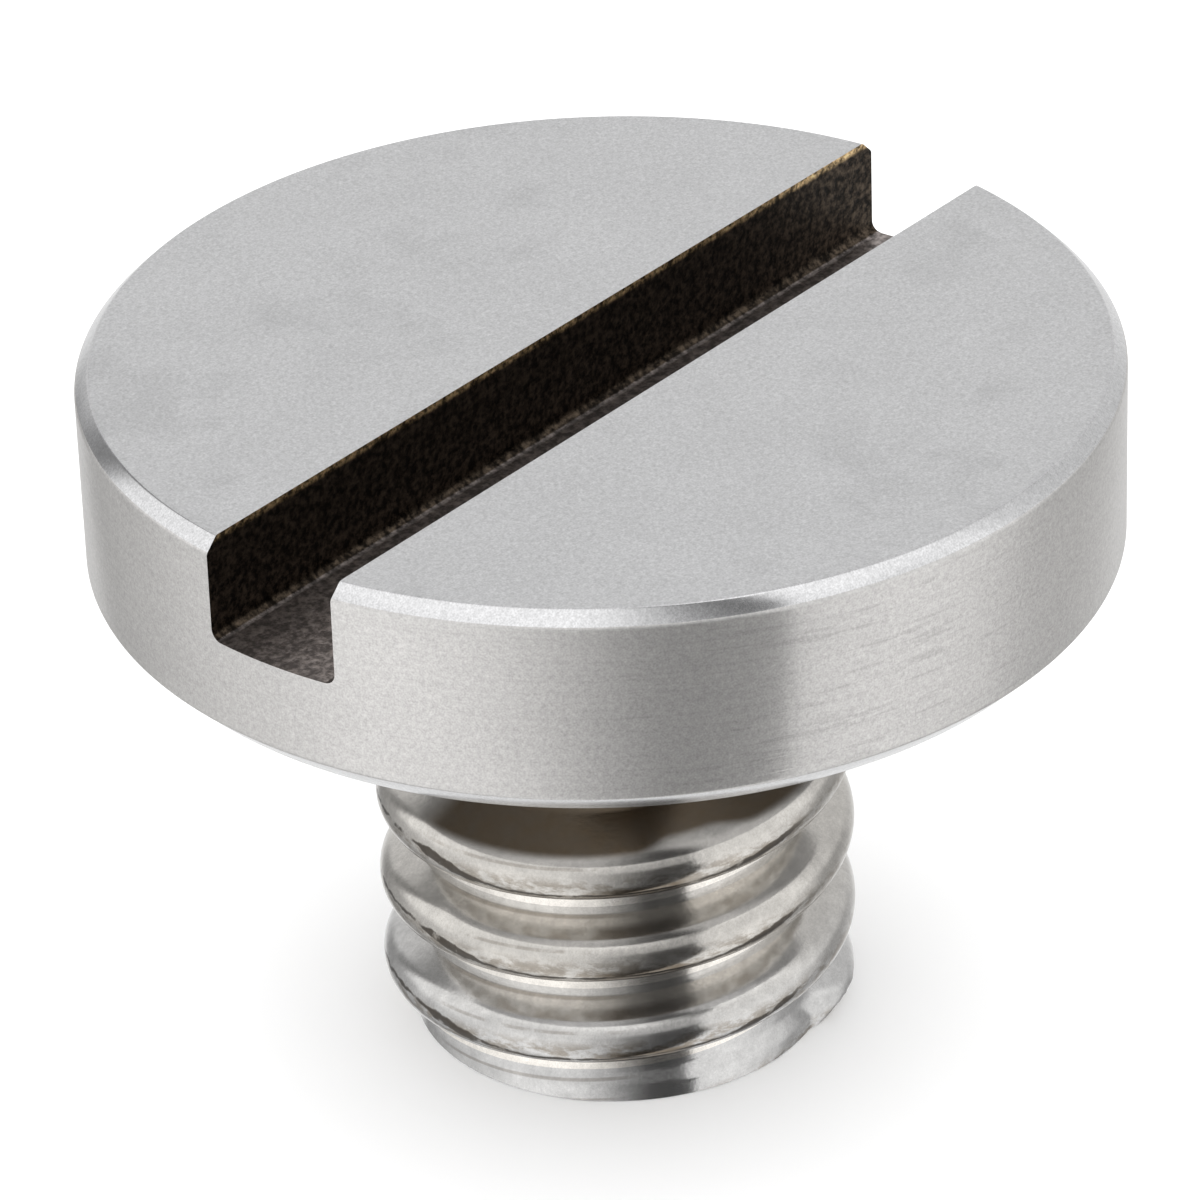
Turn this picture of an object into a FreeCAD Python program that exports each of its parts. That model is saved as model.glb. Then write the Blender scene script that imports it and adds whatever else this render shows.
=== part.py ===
import FreeCAD, Part
import math
import os
import Sketcher

# Camera mounting screw, one turned piece of stainless steel. It stands on the flat
# end of its shank with the axis on Z, so the disc head is at the top.
# Lengths are in millimetres, angles in degrees.

os.makedirs("parts", exist_ok=True)
doc = FreeCAD.newDocument("camera_mounting_screw")

# Sizes. The thread is the usual tripod thread, a quarter inch with 20 turns to the inch.
SIZES = [
    ("head_diameter", 13.5, "disc head"),
    ("head_thickness", 2.95, "disc head, between its two faces"),
    ("rim_chamfer_top", 0.19, "45 degree chamfer round the top face"),
    ("rim_chamfer_under", 0.35, "45 degree chamfer round the underside"),
    ("slot_width", 1.96, "coin slot, right across the head"),
    ("slot_depth", 1.4, "coin slot, from the top face"),
    ("slot_floor_radius", 0.15, "round along both sides of the slot's floor"),
    ("slot_offset", 0.22, "from the axis to the slot's centre line"),
    ("shank_length", 6.85, "from the flat end to the head's underside"),
    ("relief_length", 2.7, "plain neck between the thread and the head"),
    ("relief_below_root", 0.27, "how much deeper than the thread's root the neck is"),
    ("thread_major_diameter", 6.28, "over the rounded crests"),
    ("thread_turn_rise", 1.27, "rise of the thread in one turn"),
    ("thread_half_angle", 30, "slope of each flank"),
    ("crest_radius", 0.3, "round of the crest"),
    ("root_flat", 0.323, "width of the flat root"),
    ("thread_start_angle", 277.3, "where the ridge starts, counted from +X"),
    ("thread_start_below", 0.06, "how far the ridge's first crest is below the flat end"),
    ("end_chamfer", 0.3, "45 degree chamfer over the crests at the flat end"),
]
# Sizes that follow from those above.
DERIVED = [
    ("total_height", "=shank_length + head_thickness", "whole screw"),
    (
        "thread_depth",
        "=crest_radius * (1 - sin(thread_half_angle))"
        " + ((thread_turn_rise - root_flat) / 2 - crest_radius * cos(thread_half_angle))"
        " / tan(thread_half_angle)",
        "from the crest to the root",
    ),
    ("root_radius", "=thread_major_diameter / 2 - thread_depth", "thread's root"),
    ("neck_radius", "=root_radius - relief_below_root", "plain neck"),
    ("tool_radius", "=thread_major_diameter / 2 + 0.3", "outside of the cutters"),
    ("bar_below", "=2 * thread_turn_rise", "bar under the flat end before it is cut off"),
]
sheet = doc.addObject("Spreadsheet::Sheet", "Sizes")
for row, (alias, value, note) in enumerate(SIZES + DERIVED, start=1):
    sheet.set("A%d" % row, alias)
    sheet.set("B%d" % row, str(value))
    sheet.set("C%d" % row, note)
    sheet.setAlias("B%d" % row, alias)
doc.recompute()

body = doc.addObject("PartDesign::Body", "camera_mounting_screw")
body.Label = "screw"


def origin_plane(role):
    for item in body.Origin.OriginFeatures:
        if item.Role == role:
            return item
    raise ValueError("no plane " + role)


def new_sketch(name, role):
    sketch = body.newObject("Sketcher::SketchObject", name)
    sketch.AttachmentSupport = (origin_plane(role), [""])
    sketch.MapMode = "FlatFace"
    return sketch


def bind(sketch, kind, refs, formula, start):
    # One dimension of a sketch, tied to the sheet.
    number = sketch.addConstraint(Sketcher.Constraint(kind, *refs, start))
    sketch.setExpression("Constraints[%d]" % number, formula)


def value(formula_value):
    return float(getattr(formula_value, "Value", formula_value))


def size(alias):
    return value(getattr(sheet, alias))


def closed_lines(sketch, points):
    # Straight lines round the given points, joined end to end.
    vectors = [FreeCAD.Vector(x, y, 0) for x, y in points]
    count = len(vectors)
    for i in range(count):
        sketch.addGeometry(Part.LineSegment(vectors[i], vectors[(i + 1) % count]), False)
    for i in range(count):
        sketch.addConstraint(Sketcher.Constraint("Coincident", i, 2, (i + 1) % count, 1))
    return count


# The turned blank: a bar at the thread's root radius with the disc head on top. The bar
# goes on below the flat end, as it does in the lathe.
blank_sketch = new_sketch("blank_section", "XZ_Plane")
top = size("total_height")
under = size("shank_length")
rim = size("head_diameter") / 2
root = size("root_radius")
c_top = size("rim_chamfer_top")
c_under = size("rim_chamfer_under")
low = -size("bar_below")
closed_lines(
    blank_sketch,
    [
        (0, low),
        (root, low),
        (root, under),
        (rim - c_under, under),
        (rim, under + c_under),
        (rim, top - c_top),
        (rim - c_top, top),
        (0, top),
    ],
)
for line in (0, 2, 6):
    blank_sketch.addConstraint(Sketcher.Constraint("Horizontal", line))
for line in (1, 4):
    blank_sketch.addConstraint(Sketcher.Constraint("Vertical", line))
blank_sketch.addConstraint(Sketcher.Constraint("PointOnObject", 0, 1, -2))
blank_sketch.addConstraint(Sketcher.Constraint("PointOnObject", 7, 1, -2))
bind(blank_sketch, "DistanceY", (0, 1, -1, 1), "Sizes.bar_below", -low)
bind(blank_sketch, "DistanceX", (-1, 1, 1, 1), "Sizes.root_radius", root)
bind(blank_sketch, "DistanceY", (-1, 1, 2, 1), "Sizes.shank_length", under)
bind(blank_sketch, "DistanceX", (-1, 1, 4, 1), "Sizes.head_diameter / 2", rim)
bind(blank_sketch, "DistanceX", (3, 1, 3, 2), "Sizes.rim_chamfer_under", c_under)
bind(blank_sketch, "DistanceY", (3, 1, 3, 2), "Sizes.rim_chamfer_under", c_under)
bind(blank_sketch, "DistanceX", (5, 2, 5, 1), "Sizes.rim_chamfer_top", c_top)
bind(blank_sketch, "DistanceY", (5, 1, 5, 2), "Sizes.rim_chamfer_top", c_top)
bind(blank_sketch, "DistanceY", (-1, 1, 6, 1), "Sizes.total_height", top)
doc.recompute()

blank = body.newObject("PartDesign::Revolution", "blank")
blank.Profile = blank_sketch
blank.ReferenceAxis = (blank_sketch, ["V_Axis"])
blank.Angle = 360
doc.recompute()
blank_volume = body.Shape.Volume

# The thread: a ridge with a rounded crest and two straight flanks, wound right-handed
# round the bar. It starts blunt at the flat end, its first crest just below that end, and
# runs on over the neck; the cuts after it give it its two ends.
ridge_sketch = new_sketch("thread_ridge_section", "XZ_Plane")
ridge_sketch.AttachmentOffset = FreeCAD.Placement(
    FreeCAD.Vector(0, 0, 0),
    FreeCAD.Rotation(FreeCAD.Vector(0, 1, 0), size("thread_start_angle")),
)
ridge_sketch.setExpression("AttachmentOffset.Rotation.Angle", "Sizes.thread_start_angle * 1deg")
half_angle = math.radians(size("thread_half_angle"))
crest = size("crest_radius")
centre_r = size("thread_major_diameter") / 2 - crest
centre_z = -size("thread_start_below")
inner_r = root - 0.05
tangent_r = centre_r + crest * math.sin(half_angle)
tangent_w = crest * math.cos(half_angle)
inner_w = tangent_w + (tangent_r - inner_r) * math.tan(half_angle)
arc_circle = Part.Circle(FreeCAD.Vector(centre_r, centre_z, 0), FreeCAD.Vector(0, 0, 1), crest)
arc_angle = math.pi / 2 - half_angle
low_tangent = FreeCAD.Vector(tangent_r, centre_z - tangent_w, 0)
high_tangent = FreeCAD.Vector(tangent_r, centre_z + tangent_w, 0)
low_inner = FreeCAD.Vector(inner_r, centre_z - inner_w, 0)
high_inner = FreeCAD.Vector(inner_r, centre_z + inner_w, 0)
ridge_sketch.addGeometry(Part.ArcOfCircle(arc_circle, -arc_angle, arc_angle), False)
ridge_sketch.addGeometry(Part.LineSegment(high_tangent, high_inner), False)
ridge_sketch.addGeometry(Part.LineSegment(high_inner, low_inner), False)
ridge_sketch.addGeometry(Part.LineSegment(low_inner, low_tangent), False)
ridge_sketch.addConstraint(Sketcher.Constraint("Tangent", 0, 2, 1, 1))
ridge_sketch.addConstraint(Sketcher.Constraint("Coincident", 1, 2, 2, 1))
ridge_sketch.addConstraint(Sketcher.Constraint("Coincident", 2, 2, 3, 1))
ridge_sketch.addConstraint(Sketcher.Constraint("Tangent", 3, 2, 0, 1))
ridge_sketch.addConstraint(Sketcher.Constraint("Vertical", 2))
ridge_sketch.addConstraint(Sketcher.Constraint("Equal", 1, 3))
bind(ridge_sketch, "Radius", (0,), "Sizes.crest_radius", crest)
bind(
    ridge_sketch,
    "DistanceX",
    (-1, 1, 0, 3),
    "Sizes.thread_major_diameter / 2 - Sizes.crest_radius",
    centre_r,
)
bind(ridge_sketch, "DistanceY", (0, 3, -1, 1), "Sizes.thread_start_below", -centre_z)
bind(ridge_sketch, "DistanceX", (-1, 1, 2, 1), "Sizes.root_radius - 0.05", inner_r)
bind(
    ridge_sketch,
    "Angle",
    (1, 2, 3, 1),
    "2 * Sizes.thread_half_angle",
    2 * half_angle,
)
doc.recompute()

thread = body.newObject("PartDesign::AdditiveHelix", "thread")
thread.Profile = ridge_sketch
thread.ReferenceAxis = (ridge_sketch, ["V_Axis"])
thread.Mode = "pitch-height-angle"
thread.setExpression("Pitch", "Sizes.thread_turn_rise")
thread.setExpression(
    "Height",
    "Sizes.shank_length - Sizes.relief_length / 2 + Sizes.thread_start_below",
)
thread.LeftHanded = False
thread.Reversed = False
doc.recompute()
threaded_volume = body.Shape.Volume

# The plain neck turned between the thread and the head, deeper than the thread's root.
neck_sketch = new_sketch("neck_section", "XZ_Plane")
neck_r = size("neck_radius")
tool_r = size("tool_radius")
neck_low = under - size("relief_length")
closed_lines(neck_sketch, [(neck_r, under), (neck_r, neck_low), (tool_r, neck_low), (tool_r, under)])
neck_sketch.addConstraint(Sketcher.Constraint("Vertical", 0))
neck_sketch.addConstraint(Sketcher.Constraint("Vertical", 2))
neck_sketch.addConstraint(Sketcher.Constraint("Horizontal", 1))
neck_sketch.addConstraint(Sketcher.Constraint("Horizontal", 3))
bind(neck_sketch, "DistanceX", (-1, 1, 0, 1), "Sizes.neck_radius", neck_r)
bind(neck_sketch, "DistanceX", (-1, 1, 2, 1), "Sizes.tool_radius", tool_r)
bind(neck_sketch, "DistanceY", (-1, 1, 0, 1), "Sizes.shank_length", under)
bind(neck_sketch, "DistanceY", (0, 2, 0, 1), "Sizes.relief_length", under - neck_low)
doc.recompute()

neck = body.newObject("PartDesign::Groove", "neck")
neck.Profile = neck_sketch
neck.ReferenceAxis = (neck_sketch, ["V_Axis"])
neck.Angle = 360
doc.recompute()
necked_volume = body.Shape.Volume

# The shank's end, faced flat, with a small chamfer over the crest.
end_sketch = new_sketch("shank_end_section", "XZ_Plane")
chamfer = size("end_chamfer")
end_r = size("thread_major_diameter") / 2 - chamfer
closed_lines(
    end_sketch,
    [(0, 0), (end_r, 0), (tool_r, tool_r - end_r), (tool_r, low - 1), (0, low - 1)],
)
end_sketch.addConstraint(Sketcher.Constraint("Horizontal", 0))
end_sketch.addConstraint(Sketcher.Constraint("Vertical", 2))
end_sketch.addConstraint(Sketcher.Constraint("Horizontal", 3))
end_sketch.addConstraint(Sketcher.Constraint("Coincident", 0, 1, -1, 1))
end_sketch.addConstraint(Sketcher.Constraint("PointOnObject", 3, 2, -2))
end_formula = "Sizes.thread_major_diameter / 2 - Sizes.end_chamfer"
bind(end_sketch, "DistanceX", (-1, 1, 0, 2), end_formula, end_r)
bind(end_sketch, "DistanceX", (-1, 1, 1, 2), "Sizes.tool_radius", tool_r)
bind(
    end_sketch,
    "DistanceY",
    (-1, 1, 1, 2),
    "Sizes.tool_radius - Sizes.thread_major_diameter / 2 + Sizes.end_chamfer",
    tool_r - end_r,
)
bind(end_sketch, "DistanceY", (2, 2, -1, 1), "Sizes.bar_below + 1", 1 - low)
doc.recompute()

shank_end = body.newObject("PartDesign::Groove", "shank_end")
shank_end.Profile = end_sketch
shank_end.ReferenceAxis = (end_sketch, ["V_Axis"])
shank_end.Angle = 360
doc.recompute()
ended_volume = body.Shape.Volume

# The coin slot, milled right across the head along X, with small rounds along the two
# sides of its floor. It was milled a little beside the axis.
slot_sketch = new_sketch("slot_section", "YZ_Plane")
slot_y = -size("slot_offset")
half_w = size("slot_width") / 2
floor_z = top - size("slot_depth")
corner = size("slot_floor_radius")
over = top + 1
left = slot_y - half_w
right = slot_y + half_w
slot_sketch.addGeometry(
    [
        Part.LineSegment(FreeCAD.Vector(left, over, 0), FreeCAD.Vector(left, floor_z + corner, 0)),
        Part.ArcOfCircle(
            Part.Circle(
                FreeCAD.Vector(left + corner, floor_z + corner, 0),
                FreeCAD.Vector(0, 0, 1),
                corner,
            ),
            math.pi,
            1.5 * math.pi,
        ),
        Part.LineSegment(
            FreeCAD.Vector(left + corner, floor_z, 0),
            FreeCAD.Vector(right - corner, floor_z, 0),
        ),
        Part.ArcOfCircle(
            Part.Circle(
                FreeCAD.Vector(right - corner, floor_z + corner, 0),
                FreeCAD.Vector(0, 0, 1),
                corner,
            ),
            1.5 * math.pi,
            2 * math.pi,
        ),
        Part.LineSegment(FreeCAD.Vector(right, floor_z + corner, 0), FreeCAD.Vector(right, over, 0)),
        Part.LineSegment(FreeCAD.Vector(right, over, 0), FreeCAD.Vector(left, over, 0)),
    ],
    False,
)
slot_sketch.addConstraint(Sketcher.Constraint("Tangent", 0, 2, 1, 1))
slot_sketch.addConstraint(Sketcher.Constraint("Tangent", 1, 2, 2, 1))
slot_sketch.addConstraint(Sketcher.Constraint("Tangent", 2, 2, 3, 1))
slot_sketch.addConstraint(Sketcher.Constraint("Tangent", 3, 2, 4, 1))
slot_sketch.addConstraint(Sketcher.Constraint("Coincident", 4, 2, 5, 1))
slot_sketch.addConstraint(Sketcher.Constraint("Coincident", 5, 2, 0, 1))
slot_sketch.addConstraint(Sketcher.Constraint("Vertical", 0))
slot_sketch.addConstraint(Sketcher.Constraint("Vertical", 4))
slot_sketch.addConstraint(Sketcher.Constraint("Horizontal", 2))
slot_sketch.addConstraint(Sketcher.Constraint("Horizontal", 5))
slot_sketch.addConstraint(Sketcher.Constraint("Equal", 1, 3))
bind(slot_sketch, "Radius", (1,), "Sizes.slot_floor_radius", corner)
bind(slot_sketch, "DistanceX", (5, 2, 5, 1), "Sizes.slot_width", 2 * half_w)
bind(
    slot_sketch,
    "DistanceX",
    (0, 1, -1, 1),
    "Sizes.slot_width / 2 + Sizes.slot_offset",
    -left,
)
bind(slot_sketch, "DistanceY", (-1, 1, 2, 1), "Sizes.total_height - Sizes.slot_depth", floor_z)
bind(slot_sketch, "DistanceY", (-1, 1, 5, 1), "Sizes.total_height + 1", over)
doc.recompute()

slot = body.newObject("PartDesign::Pocket", "slot")
slot.Profile = slot_sketch
slot.Type = "ThroughAll"
slot.Midplane = True
doc.recompute()
finished_volume = body.Shape.Volume

# Each step must have added or taken metal, and every object must be sound.
STEPS = [
    ("thread", threaded_volume > blank_volume),
    ("neck", necked_volume < threaded_volume),
    ("shank end", ended_volume < necked_volume),
    ("slot", finished_volume < ended_volume),
]
for name, went_well in STEPS:
    if not went_well:
        raise ValueError("the step went the wrong way: " + name)
for item in doc.Objects:
    if "Invalid" in item.State or "Error" in item.State:
        raise ValueError("not computed: " + item.Name)

shape = body.Shape
if shape.isNull() or not shape.isValid() or len(shape.Solids) != 1:
    raise ValueError("the screw is not one sound solid")
shape.exportStep("parts/" + body.Label + ".step")
box = shape.BoundBox
print("volumes", blank_volume, threaded_volume, necked_volume, ended_volume, finished_volume)
print("box", box.XMin, box.XMax, box.YMin, box.YMax, box.ZMin, box.ZMax)
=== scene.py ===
import math

import bpy
from mathutils import Matrix, Vector


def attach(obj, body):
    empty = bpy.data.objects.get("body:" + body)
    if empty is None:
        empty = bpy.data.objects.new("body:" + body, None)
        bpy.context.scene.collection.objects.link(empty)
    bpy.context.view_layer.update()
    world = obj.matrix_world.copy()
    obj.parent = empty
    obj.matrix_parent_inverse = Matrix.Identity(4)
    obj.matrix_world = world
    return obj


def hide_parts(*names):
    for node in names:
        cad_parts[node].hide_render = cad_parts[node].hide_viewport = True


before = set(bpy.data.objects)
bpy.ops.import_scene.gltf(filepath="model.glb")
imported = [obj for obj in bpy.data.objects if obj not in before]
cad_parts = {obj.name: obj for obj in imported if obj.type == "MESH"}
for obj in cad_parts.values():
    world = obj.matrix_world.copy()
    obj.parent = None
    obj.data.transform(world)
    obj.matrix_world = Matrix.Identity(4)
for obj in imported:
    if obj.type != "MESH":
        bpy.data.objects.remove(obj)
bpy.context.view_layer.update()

# Screw: one piece of stainless steel, turned from bar, that stands on the flat end of its shank. The
# threaded shank is a sheet wound along the helix by Geometry Nodes, the head is turned from an outline,
# and both are joined into one closed body, out of which the slot is cut.
MM = 0.001
TOTAL_HEIGHT = 9.8
HEAD_RADIUS = 6.75
HEAD_THICKNESS = 2.95
TOP_CHAMFER = 0.19
UNDER_CHAMFER = 0.35
EDGE_ROUND = 0.035
EDGE_STEPS = 3
HEAD_SIDES = 384
SLOT_WIDTH = 1.96
SLOT_DEPTH = 1.4
SLOT_OFFSET = 0.22
SLOT_FLOOR_ROUND = 0.15
SLOT_CORNER_STEPS = 6
UNDERSIDE = TOTAL_HEIGHT - HEAD_THICKNESS
INTO_HEAD = 0.5
FLANK_ANGLE = math.radians(60)
LAST_CREST = 3
THREAD_ROWS = 40
THREAD_COLUMNS = 300
THREAD_TURNS = 6
OTHER_ROWS = 5
WELD_DISTANCE = 0.0008 * MM
# The sizes of the shank, in millimetres. Above the neck foot only the neck is left, and the neck joint is
# the top of the wound part. The lead-in and the fade of the last turn are shares of a turn. The flanks
# stand at 60 degrees to the axis.
SHANK_SIZES = {
    "Crest radius of thread": 3.17,
    "Turn rise": 1.27,
    "Crest round": 0.38,
    "Root radius": 2.68,
    "Neck radius": 2.35,
    "Neck foot": 4.75,
    "Neck joint": 4.95,
    "Shank top": UNDERSIDE + INTO_HEAD,
    "Start angle": math.radians(277.3),
    "Start height": 0.04,
    "End edge": 2.86,
    "End radius": 2.77,
    "End band": 0.22,
    "Lead-in": 0.07,
    "Fade start": 0.2,
    "Fade end": 0.5,
}


class Wire:
    """An output of a node. Sums and products of wires add Math nodes to their tree."""

    def __init__(self, tree, socket):
        self.tree = tree
        self.socket = socket

    def maths(self, operation, *others):
        return add_maths(self.tree, operation, self, *others)

    def __add__(self, other):
        return self.maths("ADD", other)

    def __radd__(self, other):
        return add_maths(self.tree, "ADD", other, self)

    def __sub__(self, other):
        return self.maths("SUBTRACT", other)

    def __rsub__(self, other):
        return add_maths(self.tree, "SUBTRACT", other, self)

    def __mul__(self, other):
        return self.maths("MULTIPLY", other)

    def __rmul__(self, other):
        return add_maths(self.tree, "MULTIPLY", other, self)

    def __truediv__(self, other):
        return self.maths("DIVIDE", other)

    def __rtruediv__(self, other):
        return add_maths(self.tree, "DIVIDE", other, self)

    def __pow__(self, other):
        return self.maths("POWER", other)

    def __rpow__(self, other):
        return add_maths(self.tree, "POWER", other, self)

    def __gt__(self, other):
        return self.maths("GREATER_THAN", other)

    def __lt__(self, other):
        return self.maths("LESS_THAN", other)

    def low(self, other):
        return self.maths("MINIMUM", other)

    def high(self, other):
        return self.maths("MAXIMUM", other)

    def ramp(self, start, end):
        """0 up to start and 1 from end on, smooth between them. The start may be the larger one."""
        values = {"Value": self, "From Min": start, "From Max": end}
        smooth = {"interpolation_type": "SMOOTHSTEP"}
        return add_node(self.tree, "ShaderNodeMapRange", values, smooth)["Result"]

    def band(self, start, full, fade, end):
        """0 up to start, 1 from full to fade, and 0 again from end on."""
        return self.ramp(start, full) * (1.0 - self.ramp(fade, end))

    def near(self, at, reach, fade=(0.0, 0.02)):
        """1 within reach of at. It fades where the distance is past reach by the two lengths of fade."""
        return 1.0 - ((self - at).maths("ABSOLUTE") - reach).ramp(*fade)

    def mixed(self, low, high):
        """low where this wire is 0 and high where it is 1."""
        return self * (high - low) + low


def plug(tree, value, place):
    if isinstance(value, Wire):
        tree.links.new(value.socket, place)
    else:
        place.default_value = value


def set_stops(ramp, stops):
    """Grey stops for a colour ramp, each a position and a lightness."""
    while len(ramp.elements) > 1:
        ramp.elements.remove(ramp.elements[0])
    ramp.elements[0].position = stops[0][0]
    for position, _ in stops[1:]:
        ramp.elements.new(position)
    for element, (_, light) in zip(ramp.elements, stops):
        element.color = (light, light, light, 1)


def add_node(tree, kind, values=None, settings=None):
    """Adds a node: its settings first, then a value or wire for each input that values names.

    Inputs and outputs go by their identifiers. It gives back a wire for each output.
    """
    node = tree.nodes.new(kind)
    for name, value in (settings or {}).items():
        if name == "stops":
            set_stops(node.color_ramp, value)
        else:
            setattr(node, name, value)
    inputs = {socket.identifier: socket for socket in node.inputs}
    for name, value in (values or {}).items():
        plug(tree, value, inputs[name])
    return {socket.identifier: Wire(tree, socket) for socket in node.outputs}


def add_maths(tree, operation, *values):
    named = dict(zip(("Value", "Value_001"), values))
    return add_node(tree, "ShaderNodeMath", named, {"operation": operation})["Value"]


def mesh_object(name, corners, faces):
    mesh = bpy.data.meshes.new(name)
    mesh.from_pydata(corners, [], faces)
    mesh.update()
    made = bpy.data.objects.new(name, mesh)
    bpy.context.scene.collection.objects.link(made)
    return made


def make_plain(source, name):
    """Gives the object its evaluated shape as a plain mesh, with no modifier left on it."""
    bpy.context.view_layer.update()
    done = source.evaluated_get(bpy.context.evaluated_depsgraph_get())
    mesh = bpy.data.meshes.new_from_object(done)
    mesh.name = name
    source.modifiers.clear()
    old = source.data
    source.data = mesh
    bpy.data.meshes.remove(old)


shank_tree = bpy.data.node_groups.new("threaded_shank", "GeometryNodeTree")
shank_tree.interface.new_socket("Geometry", in_out="INPUT", socket_type="NodeSocketGeometry")
shank_inputs = {}
for name, value in SHANK_SIZES.items():
    size_input = shank_tree.interface.new_socket(name, in_out="INPUT", socket_type="NodeSocketFloat")
    size_input.default_value = value
    shank_inputs[name] = size_input.identifier
steel_input = shank_tree.interface.new_socket("Steel", in_out="INPUT", socket_type="NodeSocketMaterial")
shape_output = shank_tree.interface.new_socket(
    "Geometry", in_out="OUTPUT", socket_type="NodeSocketGeometry"
)
given = add_node(shank_tree, "NodeGroupInput")
size = {name: given[identifier] for name, identifier in shank_inputs.items()}
# The sheet's rows run along the helix. Row 0 is the centre of the end face, the last two rows are the
# neck's top and its centre, and two more finish the last turn. Columns 0 and 1 stand at one angle, and
# the thread starts between them.
rows = THREAD_ROWS * THREAD_TURNS + OTHER_ROWS
columns = THREAD_COLUMNS + 2
sheet = add_node(shank_tree, "GeometryNodeMeshGrid", {"Vertices X": columns, "Vertices Y": rows})["Mesh"]
index = add_node(shank_tree, "GeometryNodeInputIndex")["Index"]
column = ((index + 0.5) / rows).maths("FLOOR")
row = index - column * rows
turn = ((column - 1.0) / THREAD_COLUMNS).high(0.0)
first_column = column < 0.5
angle = turn * (2 * math.pi) + size["Start angle"]
# Of the rows of a turn, half lie on the round crest, three tenths on the flanks and the rest at the root.
CREST_SHARE = 0.5
FLANK_SHARE = 0.3
ROOT_FROM = CREST_SHARE + FLANK_SHARE
FIRST_ROW_TURN = -1.5
flank_slope = math.tan(FLANK_ANGLE)
place = (row - 1.0) / THREAD_ROWS + FIRST_ROW_TURN
nearest = place.maths("ROUND")
side = (place - nearest) * 2.0
away = side.maths("ABSOLUTE")
crest_half = size["Crest round"] * math.sin(FLANK_ANGLE)
crest_drop = size["Crest round"] * (1.0 - math.cos(FLANK_ANGLE))
flank_end = crest_half + (size["Crest radius of thread"] - crest_drop - size["Root radius"]) / flank_slope
bend = (away / CREST_SHARE * FLANK_ANGLE).low(FLANK_ANGLE)
on_crest = size["Crest round"] * bend.maths("SINE")
on_flank = ((away - CREST_SHARE) / FLANK_SHARE).high(0.0).low(1.0) * (flank_end - crest_half)
on_root = ((away - ROOT_FROM) / (1.0 - ROOT_FROM)).high(0.0) * (size["Turn rise"] * 0.5 - flank_end)
offset = (on_crest + on_flank + on_root) * side.maths("SIGN")
height = nearest * size["Turn rise"] + offset + size["Start height"] + turn * size["Turn rise"]
height = height.high(0.0).low(size["Neck joint"])
# Height above the nearest crest. Crest 0 starts at column 1, and the last crest ends the thread.
phase = (height - size["Start height"]) / size["Turn rise"] - turn
crest = phase.maths("ROUND").high(first_column).low(LAST_CREST)
above = (phase - crest) * size["Turn rise"]
reach = above.maths("ABSOLUTE")
arc_height = (size["Crest round"] ** 2.0 - reach.low(crest_half) ** 2.0).maths("SQRT")
flank_drop = (reach - crest_half).high(0.0) * flank_slope
ridge = size["Crest radius of thread"] - size["Crest round"] + arc_height - flank_drop
# The first crest rises over the lead-in. The last one fades at the back of the shank, and the root below
# it falls to the neck's radius there. Above it there is only the neck.
fade = 1.0 - turn.ramp(size["Fade start"], size["Fade end"])
lead_in = crest.high(turn.ramp(0.0, size["Lead-in"])).low(1.0)
is_last = crest > LAST_CREST - 0.5
is_before_last = (crest > LAST_CREST - 1.5) * (1.0 - is_last)
is_upper = above > 0.0
faded_root = size["Neck radius"] + (size["Root radius"] - size["Neck radius"]) * fade
root = size["Root radius"] * (1.0 - is_last) * (1.0 - is_before_last * is_upper)
root = root + faded_root * (is_before_last * is_upper + is_last * (1.0 - is_upper))
root = root + size["Neck radius"] * is_last * is_upper
thread = size["Neck radius"] + (ridge - size["Neck radius"]) * (1.0 - is_last * (1.0 - fade))
thread = size["Root radius"] + (thread - size["Root radius"]) * lead_in
# Next to the last crest, the upper flank of the one before it still counts where it stands out farther.
flank_before = (above + size["Turn rise"] - crest_half) * flank_slope
flank_before = (size["Crest radius of thread"] - crest_drop - flank_before) * is_last
radius = thread.high(root).high(flank_before)
radius = radius.low(size["Neck radius"] + (size["Neck foot"] - height).high(0.0) * flank_slope)
# The end has a plain band that tapers into the root, and a small edge at 45 degrees.
past_band = ((height - size["End band"]) / size["End band"]).high(0.0)
end_radius = size["End radius"] - past_band * (size["End radius"] - size["Root radius"])
end_radius = end_radius.high(size["Root radius"]) * (height < size["End band"] * 2.0)
radius = radius.high(end_radius).low(size["End edge"] + height)
# The neck's last rows go up into the head, and both ends close at the axis.
is_top = row > rows - 2.5
is_cap = row > rows - 1.5
is_foot = row < 0.5
height = (height * (1.0 - is_top) + size["Shank top"] * is_top) * (1.0 - is_foot)
radius = (radius * (1.0 - is_top) + size["Neck radius"] * is_top) * (1.0 - is_cap) * (1.0 - is_foot)
spot_values = {
    "X": radius * angle.maths("COSINE") * MM,
    "Y": radius * angle.maths("SINE") * MM,
    "Z": height * MM,
}
spot = add_node(shank_tree, "ShaderNodeCombineXYZ", spot_values)["Vector"]
wound = add_node(shank_tree, "GeometryNodeSetPosition", {"Geometry": sheet, "Position": spot})["Geometry"]
weld_values = {"Geometry": wound, "Distance": WELD_DISTANCE}
welded = add_node(shank_tree, "GeometryNodeMergeByDistance", weld_values)["Geometry"]
real = add_node(shank_tree, "GeometryNodeRealizeInstances", {"Geometry": welded})["Geometry"]
steel_values = {"Geometry": real, "Material": given[steel_input.identifier]}
coated = add_node(shank_tree, "GeometryNodeSetMaterial", steel_values)["Geometry"]
add_node(shank_tree, "NodeGroupOutput", {shape_output.identifier: coated})

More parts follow.
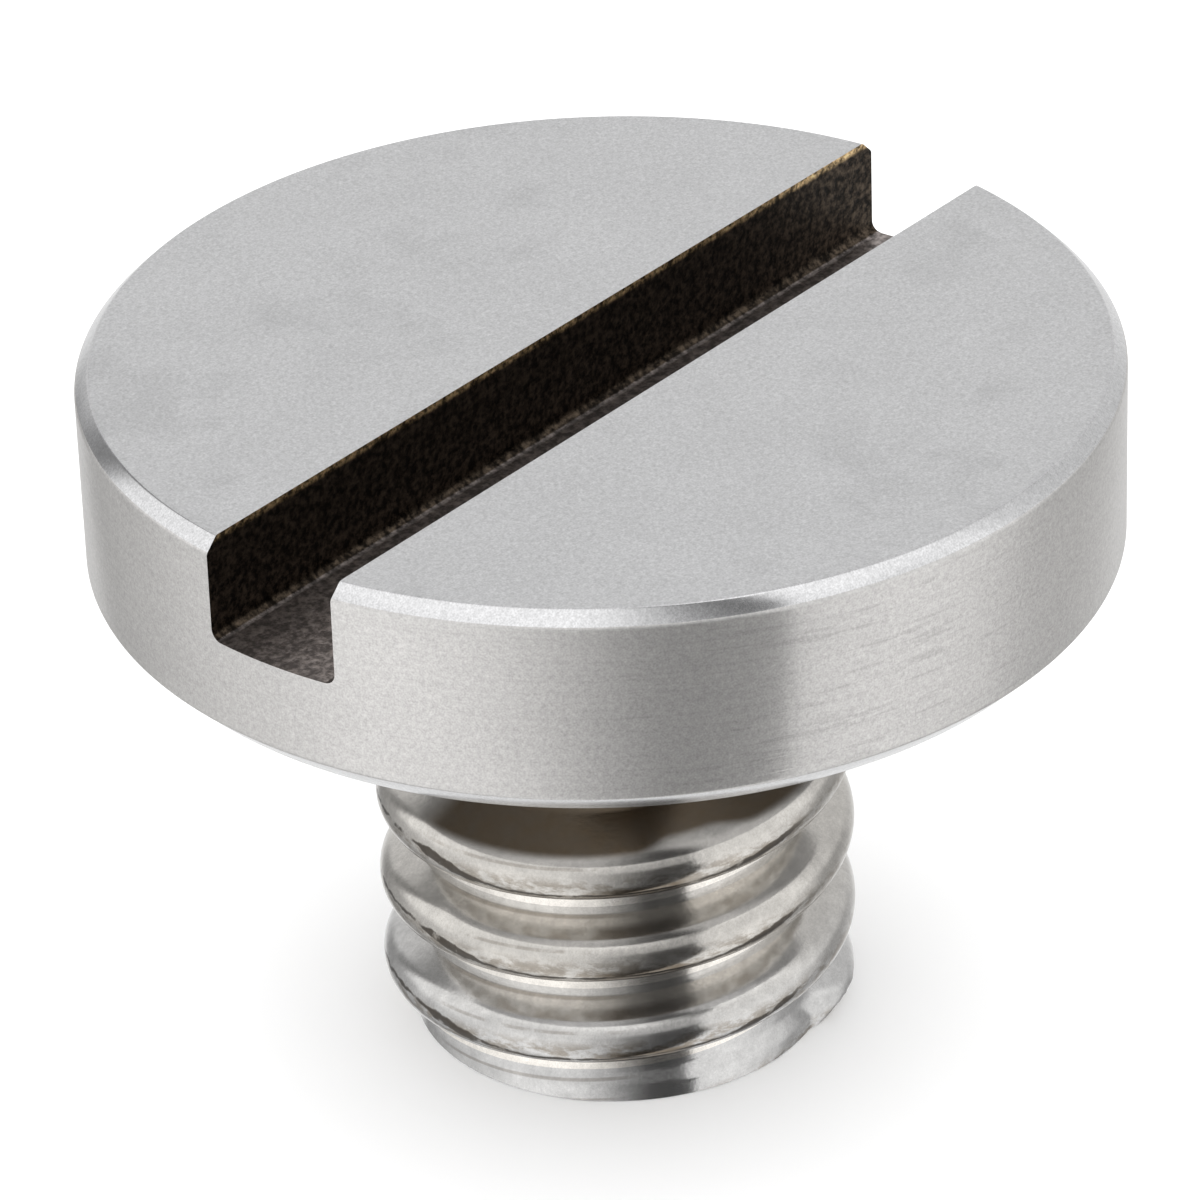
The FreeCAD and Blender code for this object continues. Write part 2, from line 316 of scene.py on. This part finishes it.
# Turned steel. The sides keep fine level marks, the top face an even grain, and the thread is smoother.
# Lengths in these shader trees are in millimetres of the object's own coordinates.
HEAD_STEEL = (0.600, 0.600, 0.606, 1)
SIDE_STEEL = (0.616, 0.604, 0.592, 1)
THREAD_STEEL = (0.560, 0.540, 0.508, 1)
END_STEEL = (0.560, 0.555, 0.548, 1)
BRIGHT_REFLECTION = (0.800, 0.765, 0.715, 1)
TAN_REFLECTION = (0.300, 0.268, 0.228, 1)
BROWN_STEEL = (0.118, 0.086, 0.052, 1)
DARK_SHADE = (0.060, 0.049, 0.038, 1)
TOP_ROUGHNESS = 0.30
SMOOTH_ROUGHNESS = 0.15
WORN_ROUGHNESS = 0.55
WORN_SIDE = 0.66
WORN_TOP = 0.4
WORN_THREAD = 0.08
SMUDGE_DARKENS = 0.07
STREAK_DARKENS = 0.11
LEVEL_MARK_DARKENS = 0.06
TOP_GRAIN_DEPTH = 0.5
THREAD_GRAIN_DEPTH = 0.15
END_STEEL_FADE = (0.8, 2.2)
# The masks of the faces start this far inside them.
TOP_MARGIN = 0.012
SIDE_MARGIN = 0.02
UNDER_MARGIN = 0.01


def new_material(name):
    """A material with an empty node tree, and the tree."""
    material = bpy.data.materials.new(name)
    material.use_nodes = True
    material.node_tree.nodes.clear()
    return material, material.node_tree


def stretched(tree, spot, stretch):
    values = {"Vector": spot, "Vector_001": stretch}
    return add_node(tree, "ShaderNodeVectorMath", values, {"operation": "MULTIPLY"})["Vector"]


def place_in_mm(tree):
    """The place on the object, in millimetres."""
    return stretched(tree, add_node(tree, "ShaderNodeTexCoord")["Object"], (1 / MM, 1 / MM, 1 / MM))


def coordinates(tree, spot):
    """x, y, z and the distance from the axis."""
    x, y, z = add_node(tree, "ShaderNodeSeparateXYZ", {"Vector": spot}).values()
    return x, y, z, (x * x + y * y).maths("SQRT")


def grain(tree, spot, scale, stretch=(1, 1, 1), detail=2.0, roughness=0.5):
    drawn = stretched(tree, spot, stretch)
    values = {"Vector": drawn, "Scale": scale, "Detail": detail, "Roughness": roughness}
    return add_node(tree, "ShaderNodeTexNoise", values)["Fac"]


def mix_colours(tree, factor, low, high, blend="MIX"):
    values = {"Factor_Float": factor, "A_Color": low, "B_Color": high}
    settings = {"data_type": "RGBA", "blend_type": blend}
    return add_node(tree, "ShaderNodeMix", values, settings)["Result_Color"]


def toned(tree, colour, tone):
    """The colour, lighter or darker by the tone."""
    grey = add_node(tree, "ShaderNodeCombineColor", {"Red": tone, "Green": tone, "Blue": tone})["Color"]
    return mix_colours(tree, 1.0, colour, grey, blend="MULTIPLY")


def metal(tree, colour, roughness, normal):
    values = {"Base Color": colour, "Metallic": 1.0, "Roughness": roughness, "Normal": normal}
    return add_node(tree, "ShaderNodeBsdfPrincipled", values)["BSDF"]


turned_steel, net = new_material("turned_steel")
spot = place_in_mm(net)
x, y, z, far = coordinates(net, spot)
top_face = (z > TOTAL_HEIGHT - TOP_MARGIN) * (far < HEAD_RADIUS - TOP_CHAMFER)
head_side = (far > HEAD_RADIUS - SIDE_MARGIN) * (z > UNDERSIDE + UNDER_CHAMFER - SIDE_MARGIN)
on_head = z > UNDERSIDE - UNDER_MARGIN
blotch = grain(net, spot, scale=5.0, detail=3.0)
coarse = grain(net, spot, scale=2.2, detail=4.0, roughness=0.6)
fine = grain(net, spot, scale=16.0, detail=1.0)
grit = grain(net, spot, scale=42.0, detail=0.0)
streaky = grain(net, spot, scale=3.2, stretch=(1.0, 1.0, 2.4), detail=4.0, roughness=0.65)
wide_shade = grain(net, spot, scale=0.7, detail=2.0)
smudge = grain(net, spot, scale=0.45, detail=4.0, roughness=0.6).ramp(0.54, 0.66)
level_marks = grain(net, spot, scale=1.0, stretch=(0.15, 0.15, 26.0), detail=3.0, roughness=0.65)
side_streaks = grain(net, spot, scale=1.0, stretch=(0.9, 0.9, 12.0), detail=2.0).ramp(0.56, 0.70)
top_grain = grain(net, spot, scale=26.0, detail=1.0)
# How far round the shank each painted shade, painted reflection and mark goes, in degrees to the right of
# the
# side that faces the camera: it starts, is full, begins to fade and ends.
CAMERA_FACING_SIDE = math.radians(-139.7)
NECK_SHADE = (-62.0, -50.0, 52.0, 66.0)
NECK_SHADE_RAISED = (4.0, 14.0, 24.0, 38.0)
LINE_RAISED = (22.0, 64.0, 80.0, 110.0)
LINE_WIDE_LEFT = (-56.0, -50.0, -44.0, -32.0)
LINE_WIDE_RIGHT = (24.0, 32.0, 40.0, 50.0)
LINE_GAP = (42.0, 56.0, 120.0, 150.0)
SHADED_PATCH = (-12.0, -2.0, 13.0, 18.0)
UPPER_LINE = (-56.0, -44.0, -8.0, 4.0)
ROOT_LINE = (-66.0, -50.0, -6.0, 8.0)
SIDE_STREAKS = (2.0, 12.0, 44.0, 58.0)
# How high each painted shade, painted reflection and line lies above the nearest crest, in the same four
# steps from above. The lower flank has the first two, because it goes on down to the root. Other heights
# here are also above the nearest crest, apart from those that end in TOP and BOTTOM, which are above the end
# of the shank.
LOW_CREST = (0.16, -0.04, -0.34, -0.42)
SHADED_FLANK = (-0.04, -0.14, -0.36, -0.42)
LOWER_FLANK = (-0.38, -0.42)
LINE_HEIGHT = -0.19
LINE_RAISED_BY = 0.27
LINE_WAVER = 0.10
LINE_HALF_WIDTH = 0.020
LINE_WIDTH_CHANGE = 0.06
LINE_WIDER_LEFT = 0.048
LINE_WIDER_RIGHT = 0.038
UPPER_LINE_HEIGHT = 0.21
UPPER_LINE_HALF_WIDTH = 0.008
ROOT_LINE_HEIGHT = 0.50
ROOT_LINE_HALF_WIDTH = 0.012
ROOT_LINE_TOP = 3.2
THREAD_TOP = 4.1
NECK_SHADE_EDGE = 0.28
NECK_SHADE_RAISED_BY = 0.08
NECK_SHADE_SOFT = 0.08
NECK_SHADE_BOTTOM = 3.5
NECK_SHADE_TOP = 5.2
turned_by = y.maths("ARCTAN2", x)
right_by = (turned_by - CAMERA_FACING_SIDE) / (2 * math.pi)
right_by = (right_by - right_by.maths("ROUND")) * 360.0
aside_by = right_by.maths("ABSOLUTE")
# Height above the nearest crest, as for the thread's mesh: it places the painted shade, reflections and
# lines along the helix.
turn_share = ((turned_by - SHANK_SIZES["Start angle"]) / (2 * math.pi)).maths("FRACT")
phase = (z - SHANK_SIZES["Start height"]) / SHANK_SIZES["Turn rise"] - turn_share
half_faded = (SHANK_SIZES["Fade start"] + SHANK_SIZES["Fade end"]) / 2
last_here = (turn_share < half_faded) + (LAST_CREST - 1.0)
above_last = (phase - last_here) * SHANK_SIZES["Turn rise"]
above_crest = (phase - phase.maths("ROUND")) * SHANK_SIZES["Turn rise"]
on_thread = z < THREAD_TOP
# Painted shade on the neck under the head, in brown, whose lower edge is raised for a stretch.
neck_edge = right_by.band(*NECK_SHADE_RAISED) * NECK_SHADE_RAISED_BY + NECK_SHADE_EDGE
neck_shade = (above_last - neck_edge).ramp(0.0, NECK_SHADE_SOFT) * blotch.mixed(0.84, 1.0)
neck_shade = neck_shade * (z > NECK_SHADE_BOTTOM) * (z < NECK_SHADE_TOP) * right_by.band(*NECK_SHADE)
# A painted shade line, thin and broken, under each crest along the thread, lower on the side facing the
# camera and wider in two places.
line_at = aside_by.band(*LINE_RAISED) * LINE_RAISED_BY + LINE_HEIGHT + (blotch - 0.5) * LINE_WAVER
line_wide = LINE_HALF_WIDTH + (coarse - 0.5) * LINE_WIDTH_CHANGE
line_wide = line_wide + right_by.band(*LINE_WIDE_LEFT) * LINE_WIDER_LEFT
line_wide = line_wide + right_by.band(*LINE_WIDE_RIGHT) * LINE_WIDER_RIGHT
shade_line = above_crest.near(line_at, line_wide, fade=(-0.012, 0.016)) * coarse.ramp(0.36, 0.46)
shade_line = shade_line * on_thread * (1.0 - right_by.band(*LINE_GAP))
# Painted reflections and shade on the thread: a darker tan reflection low on each crest, broken into
# blotches, a lighter reflection on the whole flank under it, a brown patch of painted shade on the side
# facing the camera, and two thin brown lines above the crest.
low_crest_reflection = above_crest.band(*LOW_CREST) * on_thread * streaky.ramp(0.40, 0.60)
lower_flank_reflection = above_crest.ramp(*LOWER_FLANK) * on_thread
shaded_patch = above_crest.band(*SHADED_FLANK) * on_thread * right_by.band(*SHADED_PATCH)
upper_line = above_crest.near(UPPER_LINE_HEIGHT, UPPER_LINE_HALF_WIDTH)
upper_line = upper_line * on_thread * right_by.band(*UPPER_LINE) * coarse.ramp(0.40, 0.55)
root_line = above_crest.near(ROOT_LINE_HEIGHT, ROOT_LINE_HALF_WIDTH)
root_line = root_line * (z < ROOT_LINE_TOP) * right_by.band(*ROOT_LINE)
thread_colour = mix_colours(net, z.ramp(*END_STEEL_FADE), END_STEEL, THREAD_STEEL)
# The thread's painted reflections and shade, and its brown lines, laid over its colour.
thread_shade_and_marks = [
    (low_crest_reflection * 0.85, TAN_REFLECTION),
    (lower_flank_reflection, BRIGHT_REFLECTION),
    (root_line * 0.40, BROWN_STEEL),
    (upper_line * 0.35, BROWN_STEEL),
    (shaded_patch * 0.80, BROWN_STEEL),
    (neck_shade, BROWN_STEEL),
    (shade_line * 0.92, DARK_SHADE),
]
for strength, mark_colour in thread_shade_and_marks:
    thread_colour = mix_colours(net, strength, thread_colour, mark_colour)
thread_tone = blotch.mixed(0.76, 1.16) * fine.mixed(0.90, 1.10) * grit.mixed(0.90, 1.10)
head_tone = wide_shade.mixed(0.94, 1.05) * fine.mixed(0.84, 1.16) * grit.mixed(0.82, 1.18)
head_tone = head_tone * (1.0 - smudge * top_face * SMUDGE_DARKENS)
streaked = side_streaks * head_side * right_by.band(*SIDE_STREAKS)
head_tone = head_tone * (1.0 - streaked * STREAK_DARKENS)
head_tone = head_tone * (1.0 - head_side * level_marks.ramp(0.4, 0.8) * LEVEL_MARK_DARKENS)
head_colour = mix_colours(net, head_side, HEAD_STEEL, SIDE_STEEL)
thread_colour = toned(net, thread_colour, thread_tone)
head_colour = toned(net, head_colour, head_tone)
colour = mix_colours(net, on_head, thread_colour, head_colour)
marks = level_marks * head_side + top_grain * top_face * TOP_GRAIN_DEPTH
marks = marks + fine * (1.0 - on_head) * THREAD_GRAIN_DEPTH
bump_values = {"Height": marks, "Strength": 0.35, "Distance": 0.012 * MM}
bump = add_node(net, "ShaderNodeBump", bump_values)["Normal"]
# Two lobes are blended: a smooth one, and a rough one that weighs most on the sides of the head.
blend_values = {
    "Fac": head_side * WORN_SIDE + top_face * WORN_TOP + (1.0 - on_head) * WORN_THREAD,
    "Shader": metal(net, colour, top_face.mixed(SMOOTH_ROUGHNESS, TOP_ROUGHNESS), bump),
    "Shader_001": metal(net, colour, WORN_ROUGHNESS, bump),
}
blend = add_node(net, "ShaderNodeMixShader", blend_values)["Shader"]
add_node(net, "ShaderNodeOutputMaterial", {"Surface": blend})

# The slot's walls and floor are milled and rougher. Their colour is painted shade: near black on the walls
# and dark on the floor. The walls have a tan upper edge.
WALL_SHADE = (0.034, 0.026, 0.019, 1)
SLOT_FLOOR_SHADE = (0.262, 0.232, 0.220, 1)
LIP_STEEL = (0.36, 0.26, 0.14, 1)
MILLED_ROUGHNESS = 0.42
FLOOR_FADE = (SLOT_DEPTH - 0.02, SLOT_DEPTH - 0.002)
LIP_FADE = (0.04, 0.12)
WALL_TONES = (0.25, 3.6)
FLOOR_TONES = (0.55, 1.80)
milled_steel, net = new_material("milled_steel")
spot = place_in_mm(net)
x, y, z, far = coordinates(net, spot)
depth_in = TOTAL_HEIGHT - z
floor_share = depth_in.ramp(*FLOOR_FADE)
under_lip = depth_in.ramp(*LIP_FADE)
speckle = grain(net, spot, scale=9.0, detail=3.0, roughness=0.7)
mottle = speckle.ramp(0.36, 0.74)
# Painted shade in the slot, darkest on the walls.
colour = mix_colours(net, floor_share, WALL_SHADE, SLOT_FLOOR_SHADE)
colour = mix_colours(net, under_lip, LIP_STEEL, colour)
tone = floor_share.mixed(mottle.mixed(*WALL_TONES), mottle.mixed(*FLOOR_TONES))
colour = toned(net, colour, tone)
bump_values = {"Height": speckle, "Strength": 0.5, "Distance": 0.02 * MM}
bump = add_node(net, "ShaderNodeBump", bump_values)["Normal"]
add_node(net, "ShaderNodeOutputMaterial", {"Surface": metal(net, colour, MILLED_ROUGHNESS, bump)})

# The head is turned on a lathe from this outline, and its four edges are slightly rounded.
outline = [
    (0.0, UNDERSIDE),
    (HEAD_RADIUS - UNDER_CHAMFER, UNDERSIDE),
    (HEAD_RADIUS, UNDERSIDE + UNDER_CHAMFER),
    (HEAD_RADIUS, TOTAL_HEIGHT - TOP_CHAMFER),
    (HEAD_RADIUS - TOP_CHAMFER, TOTAL_HEIGHT),
    (0.0, TOTAL_HEIGHT),
]
rounded = []
for before, edge, after in zip(outline, outline[1:], outline[2:]):
    peak = Vector(edge)
    start = peak + (Vector(before) - peak).normalized() * EDGE_ROUND
    end = peak + (Vector(after) - peak).normalized() * EDGE_ROUND
    for step in range(EDGE_STEPS + 1):
        along = step / EDGE_STEPS
        point = start * (1 - along) ** 2 + peak * 2 * along * (1 - along) + end * along ** 2
        rounded.append((point.x, point.y))
corners = [(0.0, 0.0, UNDERSIDE * MM)]
for ring_radius, ring_height in rounded:
    for number in range(HEAD_SIDES):
        around = 2 * math.pi * number / HEAD_SIDES
        ring_x = ring_radius * math.cos(around)
        ring_y = ring_radius * math.sin(around)
        corners.append((ring_x * MM, ring_y * MM, ring_height * MM))
corners.append((0.0, 0.0, TOTAL_HEIGHT * MM))
faces = []
top_ring = 1 + (len(rounded) - 1) * HEAD_SIDES
for number in range(HEAD_SIDES):
    following = (number + 1) % HEAD_SIDES
    faces.append((0, 1 + following, 1 + number))
    for low_ring in range(1, top_ring, HEAD_SIDES):
        high_ring = low_ring + HEAD_SIDES
        faces.append((low_ring + number, low_ring + following, high_ring + following, high_ring + number))
    faces.append((top_ring + number, top_ring + following, len(corners) - 1))
screw = mesh_object("screw_body", corners, faces)
screw.data.materials.append(turned_steel)

# The shank joins the head, then a cutter with rounded lower edges takes the slot out of it.
CUTTER_HALF_LENGTH = 1.3 * HEAD_RADIUS
CUTTER_ABOVE_HEAD = 1.0
SHARP_ANGLE = math.radians(32)
LEVEL_NORMAL = 0.9999
shank = mesh_object("shank", [(0, 0, 0)], [])
winding = shank.modifiers.new("thread", "NODES")
winding.node_group = shank_tree
for name, identifier in shank_inputs.items():
    winding[identifier] = SHANK_SIZES[name]
winding[steel_input.identifier] = turned_steel
make_plain(shank, "shank")
section = [(-SLOT_WIDTH / 2, CUTTER_ABOVE_HEAD)]
for step in range(SLOT_CORNER_STEPS + 1):
    around = math.radians(90 * step / SLOT_CORNER_STEPS)
    inward = SLOT_FLOOR_ROUND * (1 - math.cos(around))
    upward = SLOT_FLOOR_ROUND * (1 - math.sin(around))
    section.append((-SLOT_WIDTH / 2 + inward, -SLOT_DEPTH + upward))
section = section + [(-across, up) for across, up in reversed(section)]
count = len(section)
corners = []
for along in (-CUTTER_HALF_LENGTH, CUTTER_HALF_LENGTH):
    for across, up in section:
        corners.append((along * MM, (across - SLOT_OFFSET) * MM, (up + TOTAL_HEIGHT) * MM))
faces = [tuple(range(count))[::-1], tuple(range(count, 2 * count))]
for number in range(count):
    following = (number + 1) % count
    faces.append((number, following, count + following, count + number))
cutter = mesh_object("cutter", corners, faces)
cutter.data.materials.append(milled_steel)
for name, operation, other in (("join", "UNION", shank), ("slot", "DIFFERENCE", cutter)):
    cut = screw.modifiers.new(name, "BOOLEAN")
    cut.operation = operation
    cut.solver = "EXACT"
    cut.object = other
    cut.material_mode = "TRANSFER"
make_plain(screw, "screw_body")
for spare in (shank, cutter):
    bpy.data.objects.remove(spare)
screw.data.shade_smooth()
screw.data.set_sharp_from_angle(angle=SHARP_ANGLE)
for face in screw.data.polygons:
    if abs(face.normal.z) > LEVEL_NORMAL:
        face.use_smooth = False
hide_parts("screw")
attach(screw, "root")

# Floor: a plain matt white board under the screw, part of the studio and not of the object. It lies a
# little below the end of the shank, so that the two faces aren't in one plane.
BOARD_HALF = 0.6
BOARD_DROP = 0.02 * MM
BOARD_WHITE = (0.9, 0.9, 0.9, 1)
BOARD_ROUGHNESS = 0.7
board_corners = [
    (across * BOARD_HALF, along * BOARD_HALF, -BOARD_DROP)
    for across, along in ((-1, -1), (1, -1), (1, 1), (-1, 1))
]
floor = mesh_object("floor", board_corners, [(0, 1, 2, 3)])
white_board, net = new_material("white_board")
board_values = {"Base Color": BOARD_WHITE, "Roughness": BOARD_ROUGHNESS}
board_paint = add_node(net, "ShaderNodeBsdfPrincipled", board_values)["BSDF"]
add_node(net, "ShaderNodeOutputMaterial", {"Surface": board_paint})
floor.data.materials.append(white_board)

# Camera: the place and lens that fit the photograph's outline, in millimetres and degrees.
AZIMUTH = -49.7
DISTANCE = 94.142
ELEVATION = 30.578
ROLL = -1.996
SHIFT_RIGHT = -0.112
SHIFT_UP = -3.764
SENSOR_WIDTH = 36
FOCAL_LENGTH = 216
NEAREST_SEEN = 0.001
swing = Matrix.Rotation(math.radians(AZIMUTH), 3, "Z")
lift = math.radians(ELEVATION)
roll = math.radians(ROLL)
back = swing @ Vector((0, -math.cos(lift), math.sin(lift)))
right = swing @ Vector((1, 0, 0))
up = back.cross(right)
camera_right = right * math.cos(roll) + up * math.sin(roll)
camera_up = up * math.cos(roll) - right * math.sin(roll)
stand = back * DISTANCE + right * SHIFT_RIGHT + Vector((0, 0, SHIFT_UP + TOTAL_HEIGHT))
lens = bpy.data.cameras.new("camera")
lens.sensor_width = SENSOR_WIDTH
lens.lens = FOCAL_LENGTH
lens.clip_start = NEAREST_SEEN
camera = bpy.data.objects.new("camera", lens)
bpy.context.scene.collection.objects.link(camera)
camera_turn = Matrix((camera_right, camera_up, back)).transposed().to_4x4()
camera.matrix_world = Matrix.Translation(stand * MM) @ camera_turn
bpy.context.scene.camera = camera

# Studio: a soft white tent, which only the steel mirrors: its lit walls, its two dark seams and the gap
# right of the camera. The world's even light falls on the floor and the backdrop.
WORLD_LIGHT = 1.7
TENT_RADIUS = 0.5
TENT_SEGMENTS = 32
TENT_RINGS = 16
# The light of the tent's walls, low and high: degrees right of the camera, and how bright it is there.
LOW_WALL = [
    (-180, 0.95), (-157, 0.95), (-143, 0.36), (-123, 0.55), (-106, 0.78), (-78, 1.02),
    (-56, 1.36), (-35, 1.24), (35, 1.24), (60, 1.36), (80, 1.12), (92, 0.90),
    (105, 0.50), (118, 0.48), (140, 0.80), (155, 0.95), (180, 0.95),
]
HIGH_WALL = [
    (-180, 0.91), (-142, 0.85), (-136, 0.40), (-129, 0.25), (-125, 0.50), (-121, 1.25),
    (-60, 1.40), (60, 1.45), (88, 1.35), (100, 0.95), (115, 0.80), (150, 0.85), (180, 0.91),
]
HIGH_FROM = (-5.0, 15.0)
FRONT_GREY = (0.5, 0.5, 0.5, 1)
FRONT_GREYED = 0.30
FRONT_SIDES = (70.0, 95.0)
FRONT_TOP = (38.0, 50.0)
# The gap starts softly and ends at a sharp edge, in degrees right of the camera. Its sides move with the
# height, and it is palest at about the camera's height. A shift has a size and the heights it comes in over.
GAP_DARK = (0.02, 0.02, 0.02, 1)
GAP_FADE_IN = (-34.0, 18.0)
GAP_SHARP_EDGE = (-1.5, 1.5)
GAP_START_SHIFTS = [(22.0, 20.0, 50.0)]
GAP_END = 39.0
GAP_END_SHIFTS = [(-7.0, -28.0, 5.0), (14.0, 34.0, 52.0)]
GAP_DEPTH = 0.97
GAP_DEPTH_SHIFTS = [(-0.42, 6.0, 20.0), (0.33, 40.0, 52.0)]
world = bpy.data.worlds.new("studio")
bpy.context.scene.world = world
world.use_nodes = True
world.node_tree.nodes["Background"].inputs["Color"].default_value = (1, 1, 1, 1)
world.node_tree.nodes["Background"].inputs["Strength"].default_value = WORLD_LIGHT
bpy.ops.mesh.primitive_uv_sphere_add(segments=TENT_SEGMENTS, ring_count=TENT_RINGS, radius=TENT_RADIUS)
tent = bpy.context.object
tent.name = "tent"
tent_cloth, net = new_material("tent_cloth")
x, y, z, far = coordinates(net, add_node(net, "ShaderNodeTexCoord")["Object"])
camera_side = math.radians(AZIMUTH - 90)
ahead = x * math.cos(camera_side) + y * math.sin(camera_side)
aside = y * math.cos(camera_side) - x * math.sin(camera_side)
wall_side = aside.maths("ARCTAN2", ahead) * math.degrees(1)
wall_height = z.maths("ARCTAN2", far) * math.degrees(1)


def wall_light(wall):
    values = {"Fac": (wall_side + 180.0) / 360.0}
    stops = [((degrees + 180) / 360, light) for degrees, light in wall]
    return add_node(net, "ShaderNodeValToRGB", values, {"stops": stops})["Color"]


def shifted(value, shifts):
    """The value, changed by the size of each shift over its stretch of height."""
    for size_of_shift, low, high in shifts:
        value = wall_height.ramp(low, high) * size_of_shift + value
    return value


is_high = wall_height.ramp(*HIGH_FROM)
light = mix_colours(net, is_high, wall_light(LOW_WALL), wall_light(HIGH_WALL))
front = (1.0 - wall_side.maths("ABSOLUTE").ramp(*FRONT_SIDES)) * is_high
front = front * (1.0 - wall_height.ramp(*FRONT_TOP))
light = mix_colours(net, front * FRONT_GREYED, light, FRONT_GREY)
past_start = (wall_side - shifted(0.0, GAP_START_SHIFTS)).ramp(*GAP_FADE_IN)
past_end = (wall_side - shifted(GAP_END, GAP_END_SHIFTS)).ramp(*GAP_SHARP_EDGE)
gap = past_start * (1.0 - past_end) * shifted(GAP_DEPTH, GAP_DEPTH_SHIFTS)
light = mix_colours(net, gap, light, GAP_DARK)
glow = add_node(net, "ShaderNodeEmission", {"Color": light, "Strength": 1.0})["Emission"]
add_node(net, "ShaderNodeOutputMaterial", {"Surface": glow})
tent_cloth.cycles.emission_sampling = "NONE"
tent.data.materials.append(tent_cloth)
tent.visible_camera = False
tent.visible_diffuse = False
tent.visible_shadow = False
tent.visible_transmission = False
floor.visible_glossy = False
bpy.context.scene.view_settings.view_transform = "Standard"
